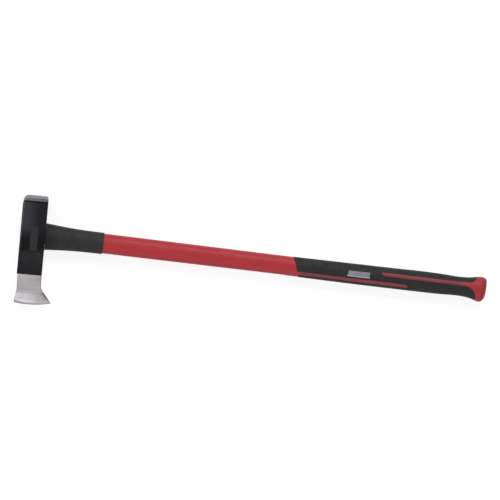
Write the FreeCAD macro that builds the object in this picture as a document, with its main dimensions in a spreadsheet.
import FreeCAD, Part
import math
import os
import Sketcher

# A splitting maul of the three-kilogram class, lying on its cheek.
# Row frame, in millimetres: X runs along the handle from the eye to the knob, Y towards the
# poll (the blade is at -Y), Z up. The origin is on the surface under the middle of the eye.
# "Height" is a size across the handle in the swing plane (Y), "thick" is a size along Z.

DIMENSIONS = (
    # head, seen along Z in its own axes: u along the handle, v towards the poll
    ("head_hang", 1.75),            # degrees that the poll leans away from the hand
    ("head_half_width", 23.8),
    ("poll_face_v", 73.6),
    ("poll_corner_v", 67.8),
    ("poll_inner_land_u", 21.0),
    ("poll_inner_corner_v", 70.8),
    ("poll_outer_land_u", 17.0),
    ("poll_outer_corner_u", 21.4),
    ("poll_outer_corner_v", 69.0),
    ("poll_taper_v", 59.0),
    ("swell_upper_v", 27.0),
    ("swell_lower_v", -25.0),
    ("grind_line_v", -108.8),
    ("edge_line_v", -134.3),
    ("poll_land_half_thick", 19.8),
    ("poll_half_thick", 25.6),
    ("cheek_half_thick", 29.0),
    ("grind_half_thick", 8.6),
    ("edge_half_thick", 1.6),
    ("cheek_hollow_radius", 350.0),
    # silhouette of the blade
    ("edge_radius", 170.0),
    ("edge_centre_u", 2.86),
    ("edge_centre_v", 35.77),
    ("outer_corner_u", -24.6),
    ("outer_corner_v", -132.0),
    ("flare_start_v", -112.0),
    ("beak_root_u", 25.0),
    ("beak_root_v", -101.5),
    ("beak_start_v", -84.0),
    ("beak_tip_u", 45.5),
    ("beak_tip_v", -128.8),
    ("blank_reach_u", 60.0),
    ("blank_reach_v", 150.0),
    # ground and broken edges of the head
    ("side_chamfer", 3.0),
    ("sharp_outer_radius", 170.5),
    ("sharp_outer_half", 0.05),
    ("sharp_inner_radius", 158.0),
    ("sharp_inner_half", 7.55),
    ("clear_half_thick", 40.0),
    # tapered eye, wider at the outer mouth so that the resin plug can't pull through
    ("eye_inner_height", 41.0),
    ("eye_inner_thick", 29.0),
    ("eye_outer_height", 47.0),
    ("eye_outer_thick", 34.0),
    # handle stations along X
    ("core_start", -22.5),
    ("core_end", 862.0),
    ("jacket_start", 24.8),
    # handle sections
    ("core_height", 29.0),
    ("core_thick", 19.0),
    ("shaft_head_height", 38.0),
    ("shaft_grip_height", 36.6),
    ("shaft_thick", 26.6),
    ("grip_skin", 2.2),
    ("butt_radius", 10.5),
    # overmould outline, seen along Z
    ("front_top_x", 494.0),
    ("front_low_x", 518.0),
    ("clear_height", 32.0),
    ("front_join_x", 508.4),
    ("low_stripe_top", -6.5),
    ("front_exit_x", 511.6),
    ("low_stripe_base", -14.9),
    ("low_stripe_end_top", 717.0),
    ("low_stripe_end_base", 725.4),
    ("high_stripe_top", 12.3),
    ("high_stripe_base", 3.7),
    ("high_stripe_tip_top", 669.6),
    ("high_stripe_tip_base", 675.2),
    ("flare_end_x", 855.4),
    ("flare_upper_x", 843.4),
    ("flare_upper_radius", 12.0),
    ("flare_upper_end_y", 24.3),
    ("flare_lower_x", 834.6),
    ("flare_lower_radius", 20.8),
    ("flare_lower_end_y", 17.1),
    # foil label on the upper cheek
    ("label_width", 14.5),
    ("label_length", 46.5),
    ("label_thick", 0.15),
    ("label_u", 2.8),
    ("label_v", -2.0),
)

# Collar and grip sections: name, place along X, height, thickness.
COLLAR_SECTIONS = (
    ("face", 23.95, 51.4, 38.0),
    ("neck", 45.0, 47.6, 35.0),
    ("waist", 64.0, 44.6, 32.8),
    ("taper", 90.0, 42.2, 31.0),
    ("mouth", 134.6, 41.0, 30.2),
)
GRIP_SECTIONS = (
    ("sleeve", 486.0, 37.6, 27.6),
    ("front", 560.0, 38.7, 28.3),
    ("palm", 650.0, 39.6, 28.8),
    ("swell", 740.0, 39.9, 29.0),
    ("waist", 821.0, 36.5, 28.0),
)
KNOB_SECTIONS = (
    ("waist", 821.0, 36.5, 28.0),
    ("rise", 835.0, 38.0, 29.0),
    ("flare", 848.0, 42.0, 31.6),
    ("crown", 862.0, 48.2, 33.8),
    ("butt", 876.0, 48.2, 33.8),
)

doc = FreeCAD.newDocument("splitting_maul")
sheet = doc.addObject("Spreadsheet::Sheet", "dims")


def fill_sheet():
    """Write every driving dimension to the sheet, one row each, under its alias."""
    rows = list(DIMENSIONS)
    groups = (("collar", COLLAR_SECTIONS), ("grip", GRIP_SECTIONS), ("knob", KNOB_SECTIONS))
    for group, sections in groups:
        for name, place, height, thick in sections:
            rows.append((f"{group}_{name}_x", place))
            rows.append((f"{group}_{name}_height", height))
            rows.append((f"{group}_{name}_thick", thick))
    for row, (alias, value) in enumerate(rows, start=1):
        sheet.set(f"A{row}", alias)
        sheet.set(f"B{row}", str(value))
        sheet.setAlias(f"B{row}", alias)
    doc.recompute()


def value(term):
    """Number behind an alias, which may carry a minus sign."""
    if term.startswith("-"):
        return -sheet.get(term[1:])
    return sheet.get(term)


def expression(term):
    """The same term as an expression on the sheet."""
    if term.startswith("-"):
        return f"-dims.{term[1:]}"
    return f"dims.{term}"


def new_body(label):
    """Empty body in the middle plane of the handle."""
    body = doc.addObject("PartDesign::Body", label)
    body.Label = label
    body.setExpression("Placement.Base.z", "dims.cheek_half_thick")
    return body


def new_head_body(label):
    """Empty body in the head's own axes, leaned by the hang."""
    body = new_body(label)
    body.setExpression("Placement.Rotation.Angle", "dims.head_hang")
    return body


def new_sketch(body, name, plane):
    """Sketch on one of the body's own origin planes."""
    sketch = body.newObject("Sketcher::SketchObject", name)
    support = next(item for item in body.Origin.OriginFeatures if item.Role == plane)
    sketch.AttachmentSupport = (support, [""])
    sketch.MapMode = "FlatFace"
    return sketch


def pin_point(sketch, geometry, vertex, across, up):
    """Hold one end of a line at two sheet dimensions from the sketch's origin."""
    index = sketch.addConstraint(
        Sketcher.Constraint("DistanceX", -1, 1, geometry, vertex, value(across)))
    sketch.setExpression(f"Constraints[{index}]", expression(across))
    index = sketch.addConstraint(
        Sketcher.Constraint("DistanceY", -1, 1, geometry, vertex, value(up)))
    sketch.setExpression(f"Constraints[{index}]", expression(up))


def bulged_arc(start, end, radius, side):
    """Arc between two points, bulging to the left (+1) or right (-1) of the way it runs."""
    chord = end - start
    middle = (start + end) * 0.5
    sagitta = radius - math.sqrt(radius ** 2 - (chord.Length / 2) ** 2)
    left = FreeCAD.Vector(-chord.y, chord.x, 0).normalize()
    return Part.Arc(start, middle + left * sagitta * side, end)


def draw_loop(sketch, corners, arcs=None):
    """Closed loop through corners; arcs gives the radius term and side of its curved sides."""
    arcs = arcs or {}
    points = [FreeCAD.Vector(value(across), value(up), 0) for across, up in corners]
    count = len(corners)
    first = sketch.GeometryCount
    for side in range(count):
        start = points[side]
        end = points[(side + 1) % count]
        if side in arcs:
            radius, way = arcs[side]
            sketch.addGeometry(bulged_arc(start, end, value(radius), way), False)
        else:
            sketch.addGeometry(Part.LineSegment(start, end), False)
    for side in range(count):
        # An arc's own start and end run anticlockwise, so they swap when it bulges left.
        head, tail = loop_ends(arcs, side)
        before = (side - 1) % count
        before_tail = loop_ends(arcs, before)[1]
        sketch.addConstraint(Sketcher.Constraint(
            "Coincident", first + before, before_tail, first + side, head))
        pin_point(sketch, first + side, head, *corners[side])
        if side in arcs:
            index = sketch.addConstraint(
                Sketcher.Constraint("Radius", first + side, value(arcs[side][0])))
            sketch.setExpression(f"Constraints[{index}]", expression(arcs[side][0]))


def loop_ends(arcs, side):
    """Vertex numbers of a side's beginning and end, in the way the loop runs."""
    if side in arcs and arcs[side][1] > 0:
        return 2, 1
    return 1, 2


def ellipse_section(body, name, place, height, thick, lean=None, inset=None):
    """Oval section across the handle at a place along X, its height lying along Y."""
    sketch = new_sketch(body, name, "YZ_Plane")
    sketch.setExpression("AttachmentOffset.Base.z", expression(place))
    if lean:
        # The sketch's own second axis is the body's Z, about which the head leans.
        sketch.AttachmentOffset = FreeCAD.Placement(
            FreeCAD.Vector(0, 0, value(place)), FreeCAD.Rotation(FreeCAD.Vector(0, 1, 0), 1))
        sketch.setExpression("AttachmentOffset.Rotation.Angle", expression(lean))
    margin = value(inset) if inset else 0
    half_height = value(height) / 2 - margin
    half_thick = value(thick) / 2 - margin
    sketch.addGeometry(Part.Ellipse(FreeCAD.Vector(half_height, 0, 0),
                                    FreeCAD.Vector(0, half_thick, 0),
                                    FreeCAD.Vector(0, 0, 0)), False)
    sketch.exposeInternalGeometry(0)
    sketch.addConstraint(Sketcher.Constraint("Coincident", 0, 3, -1, 1))
    sketch.addConstraint(Sketcher.Constraint("Horizontal", 1))
    less = f" - 2 * dims.{inset}" if inset else ""
    for line, term, half in ((1, height, half_height), (2, thick, half_thick)):
        index = sketch.addConstraint(Sketcher.Constraint("Distance", line, 2 * half))
        sketch.setExpression(f"Constraints[{index}]", expression(term) + less)
    return sketch


def loft(body, kind, name, sections):
    """Smooth or straight loft through a list of section sketches."""
    feature = body.newObject(f"PartDesign::{kind}", name)
    feature.Profile = (sections[0], [""])
    feature.Sections = [(section, [""]) for section in sections[1:]]
    feature.Ruled = len(sections) == 2
    return feature


def section_loft(body, group, sections, lean_first=None, inset=None):
    """Loft through a table of named sections."""
    sketches = []
    for name, _place, _height, _thick in sections:
        lean = None if sketches else lean_first
        stem = f"{group}_{name}"
        sketches.append(ellipse_section(body, f"{stem}_section", f"{stem}_x", f"{stem}_height",
                                        f"{stem}_thick", lean, inset))
    return loft(body, "AdditiveLoft", f"{group}_loft", sketches)


def edges_where(shape, test):
    """Names of the edges whose both ends and middle pass a test."""
    names = []
    for number, edge in enumerate(shape.Edges, start=1):
        first, last = edge.ParameterRange
        samples = [edge.valueAt(first + (last - first) * part) for part in (0.02, 0.5, 0.98)]
        if all(test(point) for point in samples):
            names.append(f"Edge{number}")
    return names


def near(number, target, slack=0.05):
    return abs(number - target) < slack


def chamfer(body, name, base, size, test):
    """Even chamfer on the edges of a feature that pass a test."""
    doc.recompute()
    feature = body.newObject("PartDesign::Chamfer", name)
    feature.Base = (base, edges_where(base.Shape, test))
    feature.setExpression("Size", expression(size))
    return feature


def cut(label, base, tool):
    """Boolean difference kept as an object of its own."""
    result = doc.addObject("Part::Cut", label)
    result.Label = label
    result.Base = base
    result.Tool = tool
    return result


def build_head():
    """Forged head: wedge-shaped blade with a beak, swollen cheeks, square poll, tapered eye."""
    body = new_head_body("maul_head")
    profile = new_sketch(body, "thickness_profile", "YZ_Plane")
    draw_loop(profile, (
        ("poll_face_v", "poll_land_half_thick"), ("poll_corner_v", "poll_half_thick"),
        ("swell_upper_v", "cheek_half_thick"), ("swell_lower_v", "cheek_half_thick"),
        ("grind_line_v", "grind_half_thick"), ("edge_line_v", "edge_half_thick"),
        ("edge_line_v", "-edge_half_thick"), ("grind_line_v", "-grind_half_thick"),
        ("swell_lower_v", "-cheek_half_thick"), ("swell_upper_v", "-cheek_half_thick"),
        ("poll_corner_v", "-poll_half_thick"), ("poll_face_v", "-poll_land_half_thick"),
    ), {3: ("cheek_hollow_radius", 1), 7: ("cheek_hollow_radius", 1)})
    blank = body.newObject("PartDesign::Pad", "blank")
    blank.Profile = profile
    blank.SideType = "Symmetric"
    blank.setExpression("Length", "2 * dims.blank_reach_u - 2")

    silhouette = new_sketch(body, "silhouette", "XY_Plane")
    draw_loop(silhouette, (
        ("blank_reach_u", "blank_reach_v"), ("-blank_reach_u", "blank_reach_v"),
        ("-blank_reach_u", "-blank_reach_v"), ("blank_reach_u", "-blank_reach_v"),
    ))
    draw_loop(silhouette, (
        ("poll_inner_land_u", "poll_face_v"), ("-poll_outer_land_u", "poll_face_v"),
        ("-poll_outer_corner_u", "poll_outer_corner_v"), ("-head_half_width", "poll_taper_v"),
        ("-head_half_width", "flare_start_v"),
        ("outer_corner_u", "outer_corner_v"), ("beak_tip_u", "beak_tip_v"),
        ("beak_root_u", "beak_root_v"), ("head_half_width", "beak_start_v"),
        ("head_half_width", "poll_inner_corner_v"),
    ), {5: ("edge_radius", -1)})
    trimmed = body.newObject("PartDesign::Pocket", "trimmed")
    trimmed.Profile = silhouette
    trimmed.SideType = "Symmetric"
    trimmed.Type = "ThroughAll"

    half_width = value("head_half_width")
    sides = chamfer(body, "side_chamfers", trimmed, "side_chamfer", lambda point: (
        near(abs(point.x), half_width)
        and value("grind_line_v") < point.y < value("poll_corner_v")
        and abs(point.z) > value("grind_half_thick")))

    bevel = new_sketch(body, "sharp_bevel", "YZ_Plane")
    bevel.setExpression("AttachmentOffset.Base.x", "dims.edge_centre_v")
    bevel.setExpression("AttachmentOffset.Base.z", "dims.edge_centre_u")
    for way in ("", "-"):
        draw_loop(bevel, (
            ("-sharp_inner_radius", f"{way}sharp_inner_half"),
            ("-sharp_outer_radius", f"{way}sharp_outer_half"),
            ("-sharp_outer_radius", f"{way}clear_half_thick"),
            ("-sharp_inner_radius", f"{way}clear_half_thick"),
        ))
    doc.recompute()
    before = sides.Shape.Volume
    sharpened = body.newObject("PartDesign::Groove", "sharpened")
    sharpened.Profile = bevel
    sharpened.ReferenceAxis = (bevel, ["V_Axis"])
    sharpened.Angle = 360
    doc.recompute()
    if sharpened.Shape.Volume >= before:
        raise RuntimeError("the sharpened bevel removed nothing")

    inner = ellipse_section(body, "eye_inner", "head_half_width", "eye_inner_height",
                            "eye_inner_thick")
    outer = ellipse_section(body, "eye_outer", "-head_half_width", "eye_outer_height",
                            "eye_outer_thick")
    loft(body, "SubtractiveLoft", "eye", [outer, inner])
    return body


def build_core():
    """Pultruded fibreglass rod that carries the load from knob to eye."""
    body = new_body("fibreglass_core")
    section = ellipse_section(body, "rod_section", "core_start", "core_height", "core_thick")
    rod = body.newObject("PartDesign::Pad", "rod")
    rod.Profile = section
    rod.setExpression("Length", "dims.core_end - dims.core_start")
    return body


def build_eye_resin(core):
    """Cast epoxy that fills the tapered eye around the rod and covers the rod's end."""
    body = new_head_body("eye_filling")
    inner = ellipse_section(body, "plug_inner", "head_half_width", "eye_inner_height",
                            "eye_inner_thick")
    outer = ellipse_section(body, "plug_outer", "-head_half_width", "eye_outer_height",
                            "eye_outer_thick")
    loft(body, "AdditiveLoft", "plug", [outer, inner])
    return cut("eye_resin", body, core)


def build_jacket(core):
    """Moulded shaft cover, tapering slightly towards the grip."""
    body = new_body("shaft_solid")
    front = ellipse_section(body, "shaft_front", "jacket_start", "shaft_head_height",
                            "shaft_thick")
    back = ellipse_section(body, "shaft_back", "grip_sleeve_x", "shaft_grip_height",
                           "shaft_thick")
    loft(body, "AdditiveLoft", "shaft_loft", [front, back])
    return body, cut("shaft_jacket", body, core)


def build_collar(shaft_solid, core):
    """Rubber overstrike collar, flaring to a seat against the leaned face of the head."""
    body = new_body("collar_solid")
    section_loft(body, "collar", COLLAR_SECTIONS, lean_first="head_hang")
    hollow = cut("collar_hollow", body, shaft_solid)
    return cut("overstrike_collar", hollow, core)


def build_grip_outer():
    """Outer form of the grip: swollen palm, waist, and a knob with a rounded butt."""
    body = new_body("grip_outer")
    section_loft(body, "grip", GRIP_SECTIONS)
    knob = section_loft(body, "knob", KNOB_SECTIONS)
    doc.recompute()
    end = value("knob_butt_x")
    rounded = body.newObject("PartDesign::Fillet", "rounded_butt")
    rounded.Base = (knob, edges_where(knob.Shape, lambda point: near(point.x, end)))
    rounded.setExpression("Radius", "dims.butt_radius")
    return body


def build_grip_inner():
    """The same form one overmould thickness further in, as far as the knob's crown."""
    body = new_body("grip_inner")
    section_loft(body, "grip", GRIP_SECTIONS, inset="grip_skin")
    section_loft(body, "knob", KNOB_SECTIONS[:-1], inset="grip_skin")
    return body


def build_overmould_zone():
    """Prism over the area that the soft overmould covers, leaving the two stripes open."""
    body = new_body("overmould_zone")
    area = new_sketch(body, "overmould_area", "XY_Plane")
    draw_loop(area, (
        ("front_top_x", "clear_height"), ("front_join_x", "low_stripe_top"),
        ("low_stripe_end_top", "low_stripe_top"), ("low_stripe_end_base", "low_stripe_base"),
        ("front_exit_x", "low_stripe_base"), ("front_low_x", "-clear_height"),
        ("flare_end_x", "-clear_height"), ("flare_end_x", "-flare_lower_end_y"),
        ("flare_lower_x", "high_stripe_base"),
        ("high_stripe_tip_base", "high_stripe_base"), ("high_stripe_tip_top", "high_stripe_top"),
        ("flare_upper_x", "high_stripe_top"), ("flare_end_x", "flare_upper_end_y"),
        ("flare_end_x", "clear_height"),
    ), {7: ("flare_lower_radius", -1), 11: ("flare_upper_radius", -1)})
    prism = body.newObject("PartDesign::Pad", "zone_prism")
    prism.Profile = area
    prism.SideType = "Symmetric"
    prism.setExpression("Length", "2 * dims.clear_height")
    return body


def build_grip(core):
    """Hard grip base with its stripes and knob, and the soft overmould around it."""
    outer = build_grip_outer()
    skin = cut("grip_skin_layer", outer, build_grip_inner())
    overmould = doc.addObject("Part::Common", "grip_overmould")
    overmould.Label = "grip_overmould"
    overmould.Base = skin
    overmould.Tool = build_overmould_zone()
    solid_base = cut("grip_base_solid", outer, overmould)
    return cut("grip_base", solid_base, core), overmould


def build_label():
    """Blank foil label on the flat of the upper cheek."""
    label = doc.addObject("Part::Box", "cheek_label")
    label.Label = "cheek_label"
    label.setExpression("Length", "dims.label_width")
    label.setExpression("Width", "dims.label_length")
    label.setExpression("Height", "dims.label_thick")
    corner_u = "(dims.label_u - dims.label_width / 2)"
    corner_v = "(dims.label_v - dims.label_length / 2)"
    label.setExpression("Placement.Base.x", f"{corner_u} * cos(dims.head_hang * 1deg)"
                                            f" - {corner_v} * sin(dims.head_hang * 1deg)")
    label.setExpression("Placement.Base.y", f"{corner_u} * sin(dims.head_hang * 1deg)"
                                            f" + {corner_v} * cos(dims.head_hang * 1deg)")
    label.setExpression("Placement.Base.z", "2 * dims.cheek_half_thick")
    label.setExpression("Placement.Rotation.Angle", "dims.head_hang")
    return label


def check_document():
    """Stop if any object of the document failed to compute."""
    for item in doc.Objects:
        if "Invalid" in item.State or "Error" in item.State:
            raise RuntimeError(f"{item.Label} failed: {item.State}")


def write_nodes(nodes):
    """Check every sub-part's solid and write it to a file of its own."""
    for node in nodes:
        if node.Shape.isNull() or not node.Shape.isValid():
            raise RuntimeError(f"{node.Label} has no valid shape")
        if not node.Shape.Solids:
            raise RuntimeError(f"{node.Label} is not a solid")
    os.makedirs("parts", exist_ok=True)
    for node in nodes:
        node.Shape.exportStep(f"parts/{node.Label}.step")
        box = node.Shape.BoundBox
        print(f"{node.Label}: {len(node.Shape.Solids)} solid, {node.Shape.Volume / 1000:.1f} cm3,"
              f" X {box.XMin:.1f} to {box.XMax:.1f}, Y {box.YMin:.1f} to {box.YMax:.1f},"
              f" Z {box.ZMin:.1f} to {box.ZMax:.1f}")


fill_sheet()
head = build_head()
core = build_core()
resin = build_eye_resin(core)
shaft_solid, jacket = build_jacket(core)
collar = build_collar(shaft_solid, core)
grip_base, overmould = build_grip(core)
label = build_label()
doc.recompute()
check_document()
write_nodes([head, resin, core, jacket, collar, grip_base, overmould, label])
